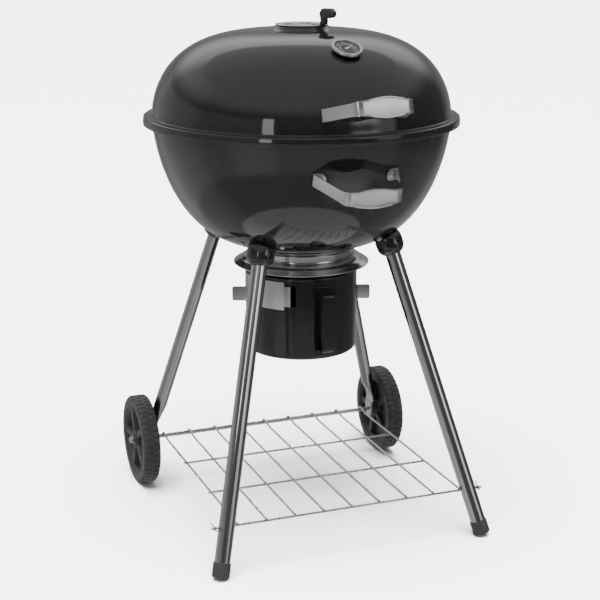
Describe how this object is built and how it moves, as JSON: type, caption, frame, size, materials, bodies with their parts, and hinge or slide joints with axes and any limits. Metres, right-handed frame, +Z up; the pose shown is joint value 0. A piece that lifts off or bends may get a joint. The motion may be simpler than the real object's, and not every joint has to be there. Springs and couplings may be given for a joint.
{
  "type": "kettle charcoal grill",
  "caption": "Round enamelled kettle grill with a domed vented lid, bent steel handles, splayed tube legs, wheels, a wire shelf and an ash bucket with air shutters.",
  "frame": {"origin": "on the floor, below the middle of the whole grill's length and width; the kettle's axis stands 22.09 mm behind it", "axes": "+Z up; the front, with both handles, faces -Y; the axle and its wheels are at the rear, along X"},
  "size_m": [0.5802, 0.6482, 0.9567],
  "materials": {
    "black_enamel": "glossy vitreous enamel",
    "brushed_stainless": "satin, brushed along its length",
    "polished_steel": "bright, finely turned",
    "chromed_tube": "bright plated tube",
    "grate_chrome": "plated wire",
    "zinc_steel": "bright zinc",
    "vent_aluminium": "plain sheet",
    "black_grip": "heat-resistant, matt",
    "wheel_plastic": "moulded, matt",
    "gloss_black": "glossy",
    "dial_print": "printed plate",
    "needle_paint": "matt paint",
    "dial_glass": "clear"
  },
  "bodies": {
    "stand": {"bowl_shell": "black_enamel", "bowl_handle": "brushed_stainless", "grate_bracket_1": "brushed_stainless", "grate_bracket_2": "brushed_stainless", "grate_bracket_3": "brushed_stainless", "grate_bracket_4": "brushed_stainless", "ash_collar": "polished_steel", "collar_brim": "polished_steel", "leg_front_left": "chromed_tube", "leg_front_right": "chromed_tube", "leg_rear_left": "chromed_tube", "leg_rear_right": "chromed_tube", "axle": "zinc_steel", "axle_nut_left": "zinc_steel", "axle_nut_right": "zinc_steel", "bottom_rack": "zinc_steel", "rack_clip_left": "zinc_steel", "rack_clip_right": "zinc_steel", "bowl_handle_bolt_left": "zinc_steel", "bowl_handle_bolt_right": "zinc_steel", "socket_bolt_front_left_a": "zinc_steel", "socket_bolt_front_left_b": "zinc_steel", "socket_bolt_front_right_a": "zinc_steel", "socket_bolt_front_right_b": "zinc_steel", "socket_bolt_rear_left_a": "zinc_steel", "socket_bolt_rear_left_b": "zinc_steel", "socket_bolt_rear_right_a": "zinc_steel", "socket_bolt_rear_right_b": "zinc_steel", "leg_cap_front_left": "black_grip", "leg_cap_front_right": "black_grip", "leg_socket_front_left": "gloss_black", "leg_socket_front_right": "gloss_black", "leg_socket_rear_left": "gloss_black", "leg_socket_rear_right": "gloss_black"},
    "lid": {"lid_shell": "black_enamel", "lid_handle": "brushed_stainless", "lid_handle_bolt_left": "zinc_steel", "lid_handle_bolt_right": "zinc_steel", "lid_vent_rivet": "zinc_steel", "thermometer_case": "brushed_stainless", "thermometer_dial": "dial_print", "thermometer_glass": "dial_glass", "thermometer_stem": "polished_steel", "thermometer_nut": "zinc_steel"},
    "lid_vent": {"lid_vent_disc": "vent_aluminium", "lid_vent_tab": "black_grip"},
    "needle": {"thermometer_needle": "needle_paint"},
    "cooking_grate_body": {"cooking_grate": "grate_chrome"},
    "charcoal_grate_body": {"charcoal_grate": "grate_chrome"},
    "wheel_left_body": {"wheel_left": "wheel_plastic"},
    "wheel_right_body": {"wheel_right": "wheel_plastic"},
    "bucket": {"ash_bucket": "black_enamel", "bucket_loop": "black_enamel", "shutter_guide_left": "brushed_stainless", "shutter_guide_right": "brushed_stainless"},
    "shutter_left": {"air_shutter_left": "brushed_stainless"},
    "shutter_right": {"air_shutter_right": "brushed_stainless"}
  },
  "joints": [
    {"name": "lid_lift", "type": "slide", "parent": "stand", "child": "lid", "axis": [0, 0, 1], "range_m": [0, 0.25]},
    {"name": "lid_vent_turn", "type": "hinge", "parent": "lid", "child": "lid_vent", "pos_m": [0, 0.02209, 0.9257], "axis": [0, 0, 1], "range_deg": [-30, 15]},
    {"name": "thermometer_needle_turn", "type": "hinge", "parent": "lid", "child": "needle", "pos_m": [0.00822, -0.16613, 0.89545], "axis": [0.0186, -0.4259, 0.9046], "range_deg": [-250, 0]},
    {"name": "cooking_grate_lift", "type": "slide", "parent": "stand", "child": "cooking_grate_body", "axis": [0, 0, 1], "range_m": [0, 0.018]},
    {"name": "charcoal_grate_lift", "type": "slide", "parent": "stand", "child": "charcoal_grate_body", "axis": [0, 0, 1], "range_m": [0, 0.09]},
    {"name": "wheel_left_spin", "type": "hinge", "parent": "stand", "child": "wheel_left_body", "pos_m": [-0.264, 0.23509, 0.089], "axis": [1, 0, 0], "continuous": true},
    {"name": "wheel_right_spin", "type": "hinge", "parent": "stand", "child": "wheel_right_body", "pos_m": [0.264, 0.23509, 0.089], "axis": [1, 0, 0], "continuous": true},
    {"name": "bucket_drop", "type": "slide", "parent": "stand", "child": "bucket", "axis": [0, 0, -1], "range_m": [0, 0.16]},
    {"name": "air_shutter_left_slide", "type": "hinge", "parent": "bucket", "child": "shutter_left", "pos_m": [0, 0.02209, 0.4445], "axis": [0, 0, 1], "range_deg": [-45, 6]},
    {"name": "air_shutter_right_slide", "type": "hinge", "parent": "bucket", "child": "shutter_right", "pos_m": [0, 0.02209, 0.4445], "axis": [0, 0, 1], "range_deg": [-45, 6]}
  ]
}
